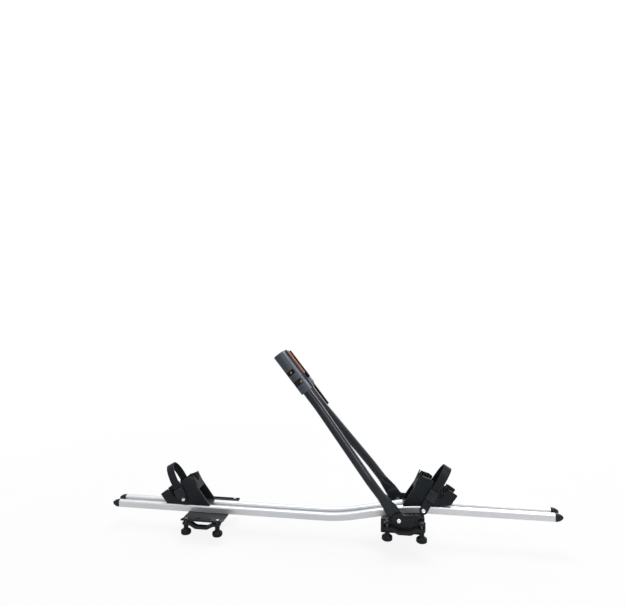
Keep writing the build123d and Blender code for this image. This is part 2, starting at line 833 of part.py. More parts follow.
with BuildPart() as pivot_washers:
    for side in (-1, 1):
        start = pivot + Vector(0, side * (front_half - front_wall - washer_thickness), 0)
        with BuildSketch(Plane(origin=start, x_dir=(1, 0, 0), z_dir=(0, side, 0))):
            Circle(washer_radius)
            Circle(pivot_radius + press_gap, mode=Mode.SUBTRACT)
        extrude(amount=washer_thickness)
save(pivot_washers.part, "pivot_washers")


def jaw_shell(side):
    """A jaw's body: flat towards the other jaw, round outside, with a socket for the arm and a pad pocket."""
    crown = (-jaw_crown_shift, side * jaw_crown)
    with BuildPart() as shell:
        with BuildSketch(across_arm(jaw_start)):
            with BuildLine():
                Polyline(
                    (-jaw_low, side * jaw_side), (-jaw_low, side * jaw_face), (jaw_high, side * jaw_face),
                    (jaw_high, side * jaw_side),
                )
                ThreePointArc((jaw_high, side * jaw_side), crown, (-jaw_low, side * jaw_side))
            make_face()
        extrude(amount=jaw_end - jaw_start)
        nose = shell.faces().sort_by(Axis(pivot, arm_way))[-1]
        fillet(nose.edges(), jaw_nose_round)
        add(
            arm_block(jaw_start, jaw_end - jaw_nose_round, jaw_pocket_half, jaw_flange, side * jaw_face,
                      side * (jaw_face + jaw_flange_depth))
        )
        with BuildSketch(across_arm(jaw_start - overrun)):
            with Locations((0, side * arm_top_offset)):
                Circle(arm_tube_radius + running_gap)
        extrude(amount=jaw_socket_end - jaw_start + overrun, mode=Mode.SUBTRACT)
        pocket_floor = side * (jaw_face + jaw_pocket_depth)
        add(
            arm_block(jaw_pocket_start, jaw_pocket_end, -jaw_pocket_half, jaw_pocket_half,
                      side * (jaw_face - overrun), pocket_floor),
            mode=Mode.SUBTRACT,
        )
        add(
            arm_block(upper_window_start, upper_window_end, -window_low, window_high,
                      side * window_floor, side * (jaw_crown + overrun)),
            mode=Mode.SUBTRACT,
        )
        ends = sorted((side * (window_floor - jaw_screw_length), side * (window_floor + overrun)))
        add(
            arm_pin(jaw_screw_along, -jaw_screw_across, *ends, jaw_screw_radius + press_gap),
            mode=Mode.SUBTRACT,
        )
    return shell.part


# Near jaw: a second window shows the end of the clamp rod, which slides in a slot
with BuildPart() as near_jaw:
    add(jaw_shell(-1))
    add(
        arm_block(lower_window_start, lower_window_end, -window_low, window_high,
                  -window_floor, -(jaw_crown + overrun)),
        mode=Mode.SUBTRACT,
    )
    add(
        arm_block(rod_slot_start, rod_slot_end, rod_across - rod_slot_half, rod_across + rod_slot_half,
                  -(jaw_face - overrun), -(window_floor + overrun)),
        mode=Mode.SUBTRACT,
    )
save(near_jaw.part, "near_jaw")

# Far jaw: a raised housing on its upper side and a flat seat for the lever's cam
with BuildPart() as housing:
    add(arm_block(housing_start, housing_end, housing_low, housing_high, housing_inner, housing_outer))
    upper_edges = housing.faces().sort_by(Axis(pivot, arm_upper))[-1].edges()
    fillet(upper_edges, housing_round)
with BuildPart() as far_jaw:
    add(jaw_shell(1))
    add(housing.part)
    add(
        arm_block(rod_along - cam_seat_half, rod_along + cam_seat_half, rod_across - lever_half_width,
                  rod_across + lever_half_width, jaw_side, cam_seat)
    )
    add(
        arm_pin(rod_along, rod_across, jaw_face - overrun, cam_seat + overrun, rod_radius + press_gap),
        mode=Mode.SUBTRACT,
    )
    with BuildSketch(across_arm(jaw_start - overrun)):
        with Locations((0, arm_top_offset)):
            Circle(arm_tube_radius + running_gap)
    extrude(amount=jaw_socket_end - jaw_start + overrun, mode=Mode.SUBTRACT)
save(far_jaw.part, "far_jaw")


def jaw_pad(side):
    """A rubber pad: a block in the jaw's pocket with a wider toothed face."""
    pocket_floor = jaw_face + jaw_pocket_depth - pad_gap
    rim_start = jaw_pocket_start + pad_rim_inset
    rim_end = jaw_pocket_end - pad_rim_inset
    pitch = (rim_end - rim_start) / pad_tooth_count
    with BuildPart() as pad:
        add(
            arm_block(jaw_pocket_start + pad_gap, jaw_pocket_end - pad_gap, pad_gap - jaw_pocket_half,
                      jaw_pocket_half - pad_gap, side * jaw_face, side * pocket_floor)
        )
        add(
            arm_block(rim_start, rim_end, -pad_rim_half, pad_rim_half, side * pad_rim_face, side * jaw_face)
        )
        for tooth in range(1, pad_tooth_count):
            middle = rim_start + tooth * pitch
            centre = pivot + arm_way * middle + Vector(0, side * (pad_rim_face - overrun), 0)
            with BuildSketch(Plane(origin=centre, x_dir=arm_way, z_dir=arm_upper)):
                with BuildLine():
                    Polyline(
                        (-pad_tooth_width / 2, 0), (pad_tooth_width / 2, 0),
                        (0, -side * (pad_tooth_depth + overrun)), close=True,
                    )
                make_face()
            extrude(amount=pad_rim_half + overrun, both=True, mode=Mode.SUBTRACT)
    return pad.part


save(jaw_pad(-1), "near_jaw_pad")
save(jaw_pad(1), "far_jaw_pad")


def jaw_screw(side):
    """A slotted screw in a jaw's upper window."""
    head_top = window_floor + jaw_screw_head_height
    with BuildPart() as screw:
        ends = sorted((side * (window_floor - jaw_screw_length + overrun), side * window_floor))
        add(arm_pin(jaw_screw_along, -jaw_screw_across, *ends, jaw_screw_radius))
        ends = sorted((side * window_floor, side * head_top))
        add(arm_pin(jaw_screw_along, -jaw_screw_across, *ends, jaw_screw_head_radius))
        add(
            arm_block(jaw_screw_along - jaw_screw_slot_width / 2, jaw_screw_along + jaw_screw_slot_width / 2,
                      -jaw_screw_across - jaw_screw_head_radius - overrun,
                      -jaw_screw_across + jaw_screw_head_radius + overrun,
                      side * (head_top - jaw_screw_slot_depth), side * (head_top + overrun)),
            mode=Mode.SUBTRACT,
        )
    return screw.part


save(jaw_screw(-1), "near_jaw_screw")
save(jaw_screw(1), "far_jaw_screw")

# Clamp rod, the barrel on its far end and the pin that the lever turns on
rod_far_end = lever_centre - lever_pin_radius - running_gap
save(arm_pin(rod_along, rod_across, -rod_near_reach, rod_far_end, rod_radius), "clamp_rod")

lever_spot = pivot + arm_way * rod_along + arm_upper * rod_across + Vector(0, lever_centre, 0)
lever_plane = Plane(origin=lever_spot, x_dir=arm_way, z_dir=arm_upper)
with BuildPart() as rod_barrel:
    with BuildSketch(lever_plane):
        Circle(barrel_radius)
        Circle(lever_pin_radius + running_gap, mode=Mode.SUBTRACT)
    extrude(amount=barrel_half, both=True)
    add(
        arm_pin(rod_along, rod_across, lever_centre - barrel_radius - overrun, lever_centre,
                rod_radius + press_gap),
        mode=Mode.SUBTRACT,
    )
save(rod_barrel.part, "rod_barrel")

with BuildPart() as lever_pin:
    with BuildSketch(lever_plane):
        Circle(lever_pin_radius)
    extrude(amount=lever_half_width, both=True)
save(lever_pin.part, "lever_pin")

# Clamp lever: a tapered handle with a forked cam head
lever_points = [
    (rod_along - lever_tip, lever_tip_inner), (rod_along - lever_tip, lever_tip_outer),
    (lever_neck_back, lever_neck_outer), (0, lever_centre + cam_radius), (0, lever_centre),
    (lever_neck_back, lever_neck_inner),
]
with BuildPart() as clamp_lever:
    with BuildSketch(lever_plane):
        with BuildLine():
            Polyline(*[(-back, lever_centre - out) for back, out in lever_points], close=True)
        make_face()
    extrude(amount=lever_half_width, both=True)
    fillet(
        clamp_lever.edges().filter_by(lambda e: e.length > (rod_along - lever_tip) / 2), lever_edge_round
    )
    with BuildSketch(lever_plane):
        Circle(cam_radius)
    extrude(amount=lever_half_width, both=True)
    add(
        arm_block(rod_along - cam_slot_reach, rod_along + cam_radius + overrun, rod_across - cam_slot_half,
                  rod_across + cam_slot_half, cam_seat, lever_centre + cam_radius + overrun),
        mode=Mode.SUBTRACT,
    )
    with BuildSketch(lever_plane):
        Circle(lever_pin_radius + press_gap)
    extrude(amount=lever_half_width + overrun, both=True, mode=Mode.SUBTRACT)
    add(
        arm_pin(lock_along, rod_across, lock_bottom, lever_neck_outer, lock_radius + running_gap),
        mode=Mode.SUBTRACT,
    )
    add(
        arm_pin(lock_along, rod_across, lock_shoulder, lever_neck_outer, lock_flange_radius + body_gap),
        mode=Mode.SUBTRACT,
    )
save(clamp_lever.part, "clamp_lever")

with BuildPart() as lock_barrel:
    lock_top = lock_shoulder + lock_flange_height
    add(arm_pin(lock_along, rod_across, lock_bottom, lock_top, lock_radius))
    add(arm_pin(lock_along, rod_across, lock_shoulder, lock_top, lock_flange_radius))
    add(
        arm_block(lock_along - keyway_length / 2, lock_along + keyway_length / 2,
                  rod_across - keyway_width / 2, rod_across + keyway_width / 2,
                  lock_top - keyway_depth, lock_top + overrun),
        mode=Mode.SUBTRACT,
    )
save(lock_barrel.part, "lock_barrel")


def spot_in(plane, along, up):
    """A point on the object's middle plane, given in a wheel holder's directions."""
    return plane.origin + plane.x_dir * along + plane.z_dir * up


def saddle_plane(plane, shares):
    """The frame of a ribbed saddle: x along its top edge, which slopes down, and z out of it."""
    along, up = shares
    return Plane(
        origin=spot_in(plane, along * holder_length, up * holder_height),
        x_dir=plane.x_dir * math.cos(saddle_turn) - plane.z_dir * math.sin(saddle_turn),
        z_dir=plane.x_dir * math.sin(saddle_turn) + plane.z_dir * math.cos(saddle_turn),
    )


saddles = (
    (tall_saddle_shares, tall_saddle_length, tall_saddle_depth, tall_saddle_notch, tall_saddle_fin_count),
    (short_saddle_shares, short_saddle_length, short_saddle_depth, short_saddle_notch,
     short_saddle_fin_count),
)


def strap_plane(plane, shares, lean):
    """The plane of a strap's arch: x to the far side and y up along the strap, from the buckle's middle."""
    turn = math.radians(lean)
    up = plane.x_dir * math.sin(turn) + plane.z_dir * math.cos(turn)
    far = Vector(0, 1, 0)
    return Plane(
        origin=spot_in(plane, shares[0] * holder_length, shares[1] * holder_height),
        x_dir=far, z_dir=far.cross(up),
    )


def wheel_holder(plane, arch):
    """A moulded cradle: two walls with a tall and a short tower, a floor, a key and a pin for the strap."""
    side_view = Plane(origin=plane.origin, x_dir=plane.x_dir, z_dir=-plane.y_dir)
    with BuildPart() as holder:
        with BuildSketch(side_view) as outline:
            with BuildLine():
                Polyline(
                    *[(along * holder_length, up * holder_height) for along, up in holder_outline_shares],
                    close=True,
                )
            make_face()
            fillet(outline.vertices(), holder_corner)
        extrude(amount=holder_half_width, both=True)
        with BuildSketch(side_view):
            with Locations((-overrun, holder_floor)):
                Rectangle(holder_length + 2 * overrun, holder_height, align=(Align.MIN, Align.MIN))
        extrude(amount=holder_half_width - holder_wall, both=True, mode=Mode.SUBTRACT)
        for shares, length, depth, *_ in saddles:
            with BuildSketch(saddle_plane(plane, shares).offset(-depth)):
                Rectangle(
                    length, 2 * holder_half_width - holder_wall, align=(Align.MIN, Align.CENTER)
                )
            extrude(amount=-holder_shelf)
        with BuildSketch(plane):
            with Locations((holder_key_start, 0)):
                Rectangle(holder_key_length, 2 * holder_key_half, align=(Align.MIN, Align.CENTER))
        extrude(amount=-holder_key_depth)
        with BuildSketch(plane):
            with Locations((holder_bolt_place, 0)):
                Circle(holder_bolt_radius + holder_bolt_hole_gap)
        extrude(amount=holder_key_depth + holder_floor, both=True, mode=Mode.SUBTRACT)
        pin_spot = arch.origin - arch.y_dir * (strap_far_end - strap_pin_inset)
        head_start = strap_inner + strap_thickness + body_gap
        pin_start = pin_spot + Vector(0, holder_half_width - holder_wall / 2, 0)
        with BuildSketch(Plane(origin=pin_start, x_dir=plane.x_dir, z_dir=(0, 1, 0))):
            Circle(strap_pin_radius)
        extrude(amount=head_start - holder_half_width + holder_wall / 2)
        pin_end = pin_spot + Vector(0, head_start, 0)
        with BuildSketch(Plane(origin=pin_end, x_dir=plane.x_dir, z_dir=(0, 1, 0))):
            Circle(strap_pin_head_radius)
        extrude(amount=strap_pin_head_height)
    return holder.part


def saddle_blocks(plane):
    """The ribbed blocks that a tyre rests on: each has a V-shaped notch and fins across it."""
    half = holder_half_width - holder_wall - saddle_gap
    with BuildPart() as blocks:
        for shares, length, depth, notch, fin_count in saddles:
            top = saddle_plane(plane, shares)
            with BuildSketch(top):
                Rectangle(length, 2 * half, align=(Align.MIN, Align.CENTER))
            extrude(amount=-depth)
            with BuildSketch(Plane(origin=top.origin, x_dir=top.y_dir, z_dir=top.x_dir)):
                with BuildLine():
                    Polyline(
                        *mirrored([(saddle_notch_flat / 2, -notch), (half - saddle_rim, 0),
                                   (half - saddle_rim, overrun)]),
                        close=True,
                    )
                make_face()
            extrude(amount=length, mode=Mode.SUBTRACT)
            slot = (length - fin_count * saddle_fin) / (fin_count - 1)
            for number in range(fin_count - 1):
                start = saddle_fin + number * (saddle_fin + slot)
                with BuildSketch(top.offset(overrun)):
                    with Locations((start, 0)):
                        Rectangle(slot, 2 * half + 2 * overrun, align=(Align.MIN, Align.CENTER))
                extrude(amount=-saddle_slot_depth - overrun, mode=Mode.SUBTRACT)
    return blocks.part


def holder_bolt(plane):
    """A bolt with a round head on the holder's floor and a nut plate in the rail's trough."""
    nut_top = -(rail_height - top_lip_level + guide_gap)
    with BuildPart() as bolt:
        spot = Plane(
            origin=spot_in(plane, holder_bolt_place, 0), x_dir=plane.x_dir, z_dir=plane.z_dir
        )
        with BuildSketch(spot.offset(holder_floor)):
            Circle(holder_bolt_head_radius)
        extrude(amount=holder_bolt_head_height)
        with BuildSketch(spot.offset(nut_top - holder_nut_thickness)):
            Rectangle(holder_nut_length, 2 * holder_nut_half)
        extrude(amount=holder_nut_thickness)
        with BuildSketch(spot.offset(nut_top)):
            Circle(holder_bolt_radius)
        extrude(amount=holder_floor - nut_top)
    return bolt.part


def strap(arch, tail, splay):
    """A moulded strap: an arch over the wheel, a far leg on a pin and a tail below the buckle."""
    outer = strap_inner + strap_thickness
    rise = strap_reach - strap_leg
    buckle_low = -buckle_length / 2 - overrun
    with BuildPart() as band:
        with BuildSketch(arch):
            with Locations((0, strap_leg)):
                Ellipse(outer, rise)
            with Locations((0, -strap_reach)):
                Rectangle(2 * outer, strap_reach + strap_leg, align=(Align.CENTER, Align.MIN))
            with Locations((0, strap_leg)):
                Ellipse(strap_inner, rise - strap_thickness, mode=Mode.SUBTRACT)
            with Locations((0, -strap_reach)):
                Rectangle(
                    2 * strap_inner, strap_reach + strap_leg, align=(Align.CENTER, Align.MIN),
                    mode=Mode.SUBTRACT,
                )
            with Locations((0, -strap_far_end)):
                Rectangle(outer + overrun, strap_reach, align=(Align.MIN, Align.MAX), mode=Mode.SUBTRACT)
            with Locations((0, buckle_low)):
                Rectangle(outer + overrun, strap_reach, align=(Align.MAX, Align.MAX), mode=Mode.SUBTRACT)
            with BuildLine():
                Polyline(
                    (-strap_inner, buckle_low), (-outer, buckle_low), (-outer - splay, -tail),
                    (-strap_inner - splay, -tail), close=True,
                )
            make_face()
        extrude(amount=strap_width / 2, both=True)
        for reach, low, side in ((outer + splay, -tail, -1), (outer, -strap_far_end, 1)):
            inset = strap_eye_inset if side < 0 else strap_pin_inset
            hole = strap_eye_radius if side < 0 else strap_pin_radius + body_gap
            spot = arch.origin + arch.y_dir * (low + strap_width / 2)
            with BuildSketch(Plane(origin=spot, x_dir=arch.z_dir, z_dir=(0, side, 0))):
                with Locations((0, side * strap_width / 2)):
                    Rectangle(strap_width + overrun, strap_width)
                Circle(strap_width / 2, mode=Mode.SUBTRACT)
                with Locations((0, side * (strap_width / 2 - inset))):
                    Circle(hole)
            extrude(amount=reach + overrun, mode=Mode.SUBTRACT)
    return band.part


def buckle(arch):
    """The buckle's body on the near wall, with a slot for the strap and a pocket for the button."""
    with BuildPart() as body:
        wall = near_view(arch, holder_half_width)
        with BuildSketch(wall):
            RectangleRounded(buckle_width, buckle_length, buckle_round)
        extrude(amount=buckle_thickness)
        fillet(body.faces().sort_by(Axis.Y)[0].edges(), buckle_edge)
        with BuildSketch(near_view(arch, strap_inner - buckle_slot_gap)):
            Rectangle(strap_width + 2 * buckle_slot_gap, buckle_length + 2 * overrun)
        extrude(amount=strap_thickness + 2 * buckle_slot_gap, mode=Mode.SUBTRACT)
        pocket_floor = holder_half_width + buckle_thickness - button_depth - button_travel
        with BuildSketch(near_view(arch, pocket_floor)):
            Rectangle(button_size + 2 * button_gap, button_size + 2 * button_gap)
        extrude(amount=buckle_thickness, mode=Mode.SUBTRACT)
    return body.part


def button(arch):
    """The square release button, which slides into the buckle."""
    with BuildPart() as cap:
        with BuildSketch(near_view(arch, holder_half_width + buckle_thickness - button_depth)):
            Rectangle(button_size, button_size)
        extrude(amount=button_depth + button_proud)
        fillet(cap.faces().sort_by(Axis.Y)[0].edges(), button_edge)
    return cap.part


def near_view(arch, distance):
    """A plane facing the near side at a distance from the middle plane; its y runs up along the strap."""
    near = Vector(0, -1, 0)
    return Plane(origin=arch.origin + near * distance, x_dir=arch.y_dir.cross(near), z_dir=near)


for place, plane, shares, lean, tail, splay in (
    ("front", front_holder_plane, front_buckle_shares, front_strap_angle, front_tail_length,
     front_tail_splay),
    ("rear", rear_holder_plane, rear_buckle_shares, rear_strap_angle, rear_tail_length, rear_tail_splay),
):
    arch = strap_plane(plane, shares, lean)
    save(wheel_holder(plane, arch), f"{place}_holder")
    save(saddle_blocks(plane), f"{place}_saddles")
    save(holder_bolt(plane), f"{place}_holder_bolt")
    save(strap(arch, tail, splay), f"{place}_strap")
    save(buckle(arch), f"{place}_buckle")
    save(button(arch), f"{place}_button")
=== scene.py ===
# %% [markdown]
# # Dressing a roof mounted bike carrier
#
# The carrier is a long aluminium rail on two steel feet. Two arms rise from the front foot and end in a
# pair of jaws that grip a tube, and two cradles with straps stand on the rail. The imported model already
# has every piece in its true place, in metres. This lesson gives the pieces soft edges, finishes and
# the small fasteners that a modeller adds last.
#
# The frame is loaded first, and its box is kept, because the floor is placed by its lowest point.

# %% Load the imported model
import json
import math
import bpy
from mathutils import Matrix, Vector


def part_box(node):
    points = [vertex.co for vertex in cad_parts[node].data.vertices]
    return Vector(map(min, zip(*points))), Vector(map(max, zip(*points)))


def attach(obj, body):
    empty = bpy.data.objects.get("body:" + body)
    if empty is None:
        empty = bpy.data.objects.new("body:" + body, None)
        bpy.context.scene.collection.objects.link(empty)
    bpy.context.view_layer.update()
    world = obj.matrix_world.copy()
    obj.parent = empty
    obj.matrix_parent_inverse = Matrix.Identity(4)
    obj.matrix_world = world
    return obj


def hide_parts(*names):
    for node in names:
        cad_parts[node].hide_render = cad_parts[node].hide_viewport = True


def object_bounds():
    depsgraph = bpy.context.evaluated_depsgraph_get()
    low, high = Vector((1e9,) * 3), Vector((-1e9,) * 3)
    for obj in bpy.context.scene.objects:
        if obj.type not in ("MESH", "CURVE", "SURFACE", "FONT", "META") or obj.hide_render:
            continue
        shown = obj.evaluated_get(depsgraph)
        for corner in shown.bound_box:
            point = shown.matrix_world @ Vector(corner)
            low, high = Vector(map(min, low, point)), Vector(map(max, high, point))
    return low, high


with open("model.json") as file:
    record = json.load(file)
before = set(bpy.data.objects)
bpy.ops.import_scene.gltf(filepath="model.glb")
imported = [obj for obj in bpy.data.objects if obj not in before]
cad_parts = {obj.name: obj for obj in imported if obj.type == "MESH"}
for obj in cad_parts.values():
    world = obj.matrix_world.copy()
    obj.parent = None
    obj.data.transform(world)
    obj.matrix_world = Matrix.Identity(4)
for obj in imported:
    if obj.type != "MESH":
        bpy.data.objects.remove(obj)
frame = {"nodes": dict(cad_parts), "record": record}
MM = 0.001
cad_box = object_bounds()
body_of_node = {
    node: body
    for body, nodes in frame["record"]["behaviour"]["bodies"].items()
    for node in nodes
}

# %% [markdown]
# ## Finishes
#
# Every finish is built from the same few steps: a soft, large pattern shifts the colour and the
# roughness a little, and a small one raises the surface. The patterns read Object coordinates, because
# the pieces stay at the origin with their place in the mesh, so a pattern keeps one scale over the whole
# carrier. Values that are the same all over are set on the shader itself.

# %% Helpers that start a finish and draw a pattern
def tree_of(thing):
    """The nodes and the links of a material or a world."""
    return thing.node_tree.nodes, thing.node_tree.links


def start_finish(name, metallic, specular=0.5, coat=0.0):
    """A new material with its shader and the coordinates that its patterns read."""
    material = bpy.data.materials.new(name)
    material.use_nodes = True
    nodes = material.node_tree.nodes
    shader = nodes["Principled BSDF"]
    shader.inputs["Metallic"].default_value = metallic
    shader.inputs["Specular IOR Level"].default_value = specular
    shader.inputs["Coat Weight"].default_value = coat
    place = nodes.new("ShaderNodeTexCoord")
    return material, shader, place.outputs["Object"]


def pattern(material, place, per_metre, stretch=(1, 1, 1), detail=3.0):
    """A noise pattern with so many spots to the metre. A stretch under 1 draws them out that way."""
    nodes, links = tree_of(material)
    mapping = nodes.new("ShaderNodeMapping")
    mapping.inputs["Scale"].default_value = stretch
    noise = nodes.new("ShaderNodeTexNoise")
    noise.inputs["Scale"].default_value = per_metre
    noise.inputs["Detail"].default_value = detail
    links.new(place, mapping.inputs["Vector"])
    links.new(mapping.outputs["Vector"], noise.inputs["Vector"])
    return noise.outputs["Fac"]


print("pattern helpers ready")

# %% [markdown]
# A pattern is a number from 0 to 1 at each point, and most of noise lies near 0.5. So each helper below
# spreads the middle of that range over what it drives: the colour, the roughness or the height.

# %% Helpers that let a pattern drive the shader
def tint(material, shader, mask, dark, light, low=0.3, high=0.7):
    """The base colour goes from dark to light as the pattern rises from low to high."""
    nodes, links = tree_of(material)
    ramp = nodes.new("ShaderNodeValToRGB")
    for stop, position, colour in zip(ramp.color_ramp.elements, (low, high), (dark, light)):
        stop.position = position
        stop.color = (*colour, 1)
    links.new(mask, ramp.inputs["Fac"])
    links.new(ramp.outputs["Color"], shader.inputs["Base Color"])


def roughen(material, shader, mask, smooth, rough, low=0.25, high=0.75):
    """The roughness goes from smooth to rough as the pattern rises from low to high."""
    nodes, links = tree_of(material)
    spread = nodes.new("ShaderNodeMapRange")
    spread.inputs["From Min"].default_value = low
    spread.inputs["From Max"].default_value = high
    spread.inputs["To Min"].default_value = smooth
    spread.inputs["To Max"].default_value = rough
    links.new(mask, spread.inputs["Value"])
    links.new(spread.outputs["Result"], shader.inputs["Roughness"])


def raise_grain(material, shader, mask, strength, depth_mm):
    """A pattern lifts the surface by a depth in millimetres."""
    nodes, links = tree_of(material)
    bump = nodes.new("ShaderNodeBump")
    bump.inputs["Strength"].default_value = strength
    bump.inputs["Distance"].default_value = depth_mm * MM
    links.new(mask, bump.inputs["Height"])
    links.new(bump.outputs["Normal"], shader.inputs["Normal"])


print("finish helpers ready")

# %% [markdown]
# ### Metals
#
# The rail is drawn through a die, so its marks run lengthwise: the pattern is stretched along X. Plated
# bolts and pins are turned, so their marks are fine and even. The front foot's studs are dark and show
# their threads, which are bands across Z, one to each turn. Coated steel isn't bare metal to the eye,
# but a thin plastic skin with a faint orange peel, and its arms catch one long soft highlight.

# %% How drawn, plated, threaded and coated metal are made
def drawn_aluminium():
    """Bare aluminium with fine marks along the rail."""
    material, shader, place = start_finish("drawn aluminium", metallic=0.9)
    marks = pattern(material, place, per_metre=260, stretch=(0.02, 1, 1), detail=5)
    clouds = pattern(material, place, per_metre=9, stretch=(0.3, 1, 1))
    tint(material, shader, clouds, dark=(0.61, 0.625, 0.64), light=(0.69, 0.70, 0.715))
    roughen(material, shader, marks, smooth=0.34, rough=0.46)
    raise_grain(material, shader, marks, strength=0.18, depth_mm=0.05)
    return material


def plated_skin(name, dark, light, smooth, rough):
    """Metal whose colour and shine drift a little, with no marks yet."""
    material, shader, place = start_finish(name, metallic=1.0)
    clouds = pattern(material, place, per_metre=120)
    tint(material, shader, clouds, dark, light)
    roughen(material, shader, clouds, smooth, rough)
    return material, shader, place


def plated_metal(name, dark, light, smooth, rough):
    """Plated or polished metal with the fine marks of turning."""
    material, shader, place = plated_skin(name, dark, light, smooth, rough)
    marks = pattern(material, place, per_metre=900, detail=4)
    raise_grain(material, shader, marks, strength=0.15, depth_mm=0.03)
    return material


def threaded_steel(name, dark, light, smooth, rough, pitch_mm):
    """Plated steel with thread turns along Z: a wave pattern whose bands are one pitch apart."""
    material, shader, place = plated_skin(name, dark, light, smooth, rough)
    nodes, links = tree_of(material)
    waves_at_scale_one = 20 / (2 * math.pi)
    turns = nodes.new("ShaderNodeTexWave")
    turns.bands_direction = "Z"
    turns.inputs["Scale"].default_value = 1 / (pitch_mm * MM) / waves_at_scale_one
    links.new(place, turns.inputs["Vector"])
    raise_grain(material, shader, turns.outputs["Fac"], strength=0.8, depth_mm=0.35)
    return material


def coated_steel(name, dark, light, smooth, rough):
    """Black coated steel with the faint orange peel of its coat."""
    material, shader, place = start_finish(name, metallic=0.0, specular=0.22)
    peel = pattern(material, place, per_metre=700, detail=2)
    clouds = pattern(material, place, per_metre=14)
    tint(material, shader, clouds, dark, light)
    roughen(material, shader, clouds, smooth, rough)
    raise_grain(material, shader, peel, strength=0.10, depth_mm=0.04)
    return material


print("metal helpers ready")

# %% [markdown]
# Each metal has a dark and a light colour that its clouds drift between, and a smooth and a rough end.
# The blacks are a little blue, as the coat is. What makes them black in the picture is a low specular
# level, and not a base colour of zero.

# %% The metals of the carrier
aluminium = drawn_aluminium()
dark_thread = threaded_steel(
    "dark thread", dark=(0.10, 0.10, 0.11), light=(0.17, 0.17, 0.18),
    smooth=0.30, rough=0.42, pitch_mm=1.25,
)
zinc = plated_metal(
    "zinc plate", dark=(0.60, 0.61, 0.63), light=(0.78, 0.79, 0.81), smooth=0.22, rough=0.38,
)
bright_rivet = plated_metal(
    "bright rivet", dark=(0.78, 0.78, 0.79), light=(0.90, 0.90, 0.91), smooth=0.16, rough=0.28,
)
yellow_zinc = plated_metal(
    "yellow zinc", dark=(0.40, 0.29, 0.10), light=(0.56, 0.43, 0.18), smooth=0.26, rough=0.40,
)
brass = plated_metal(
    "turned brass", dark=(0.34, 0.25, 0.10), light=(0.48, 0.37, 0.16), smooth=0.24, rough=0.38,
)
lock_chrome = plated_metal(
    "lock chrome", dark=(0.72, 0.72, 0.74), light=(0.82, 0.82, 0.84), smooth=0.08, rough=0.16,
)
arm_coat = coated_steel(
    "arm coat", dark=(0.016, 0.020, 0.025), light=(0.023, 0.028, 0.034), smooth=0.19, rough=0.25,
)
foot_coat = coated_steel(
    "foot coat", dark=(0.007, 0.008, 0.010), light=(0.012, 0.014, 0.016), smooth=0.30, rough=0.42,
)
print("metals:", [m.name for m in (aluminium, zinc, arm_coat, foot_coat)])

# %% [markdown]
# ### Plastics and rubber
#
# The jaws and cradles are moulded in spark-eroded tools, which leaves a fine leathery grain. Here it
# has 1500 cells to the metre, so a cell is about two thirds of a millimetre wide. The buckles have a
# shallower grain and a light gloss. Rubber has hardly any shine, and a dusty bloom in soft patches. The
# straps are smoother than the ribbed saddles.

# %% How grained plastic and rubber are made
def grained_plastic(name, dark, light, smooth, rough, per_metre=1500, grain_mm=0.10, coat=0.0):
    """Moulded plastic with a grain of small cells."""
    material, shader, place = start_finish(name, metallic=0.0, specular=0.14, coat=coat)
    nodes, links = tree_of(material)
    clouds = pattern(material, place, per_metre=22)
    cells = nodes.new("ShaderNodeTexVoronoi")
    cells.inputs["Scale"].default_value = per_metre
    links.new(place, cells.inputs["Vector"])
    tint(material, shader, clouds, dark, light)
    roughen(material, shader, clouds, smooth, rough)
    raise_grain(material, shader, cells.outputs["Distance"], strength=0.35, depth_mm=grain_mm)
    return material


def moulded_rubber(name, dark, light, smooth, rough):
    """Matt rubber with a dusty bloom and fine pores."""
    material, shader, place = start_finish(name, metallic=0.0, specular=0.14)
    bloom = pattern(material, place, per_metre=60, detail=6)
    pores = pattern(material, place, per_metre=1800, detail=2)
    tint(material, shader, bloom, dark, light, low=0.35, high=0.75)
    roughen(material, shader, bloom, smooth, rough)
    raise_grain(material, shader, pores, strength=0.30, depth_mm=0.08)
    return material


print("plastic and rubber helpers ready")

# %% [markdown]
# The jaws are a blue grey, the pads are orange rubber, and the washers are pale nylon. Everything else
# that is moulded is close to black, with small differences between one moulding and the next.

# %% The plastics and rubbers of the carrier
jaw_plastic = grained_plastic(
    "jaw plastic", dark=(0.058, 0.068, 0.084), light=(0.076, 0.088, 0.106), smooth=0.36, rough=0.50,
)
cradle_plastic = grained_plastic(
    "cradle plastic", dark=(0.011, 0.014, 0.017), light=(0.018, 0.022, 0.026),
    smooth=0.40, rough=0.54,
)
knob_plastic = grained_plastic(
    "knob plastic", dark=(0.005, 0.006, 0.007), light=(0.010, 0.011, 0.013), smooth=0.34, rough=0.48,
)
cap_plastic = grained_plastic(
    "cap plastic", dark=(0.016, 0.019, 0.024), light=(0.026, 0.030, 0.036), smooth=0.32, rough=0.44,
)
lever_plastic = grained_plastic(
    "lever plastic", dark=(0.006, 0.006, 0.007), light=(0.010, 0.010, 0.011), smooth=0.30, rough=0.42,
)
buckle_plastic = grained_plastic(
    "buckle plastic", dark=(0.016, 0.019, 0.023), light=(0.028, 0.031, 0.036),
    smooth=0.24, rough=0.34, per_metre=900, grain_mm=0.05, coat=0.15,
)
washer_nylon = grained_plastic(
    "washer nylon", dark=(0.58, 0.58, 0.55), light=(0.68, 0.68, 0.65), smooth=0.35, rough=0.5,
)
seat_rubber = moulded_rubber(
    "seat rubber", dark=(0.012, 0.012, 0.012), light=(0.028, 0.028, 0.028), smooth=0.62, rough=0.78,
)
saddle_rubber = moulded_rubber(
    "saddle rubber", dark=(0.008, 0.009, 0.010), light=(0.018, 0.020, 0.022), smooth=0.50, rough=0.66,
)
strap_rubber = moulded_rubber(
    "strap rubber", dark=(0.011, 0.012, 0.015), light=(0.020, 0.022, 0.026), smooth=0.36, rough=0.50,
)
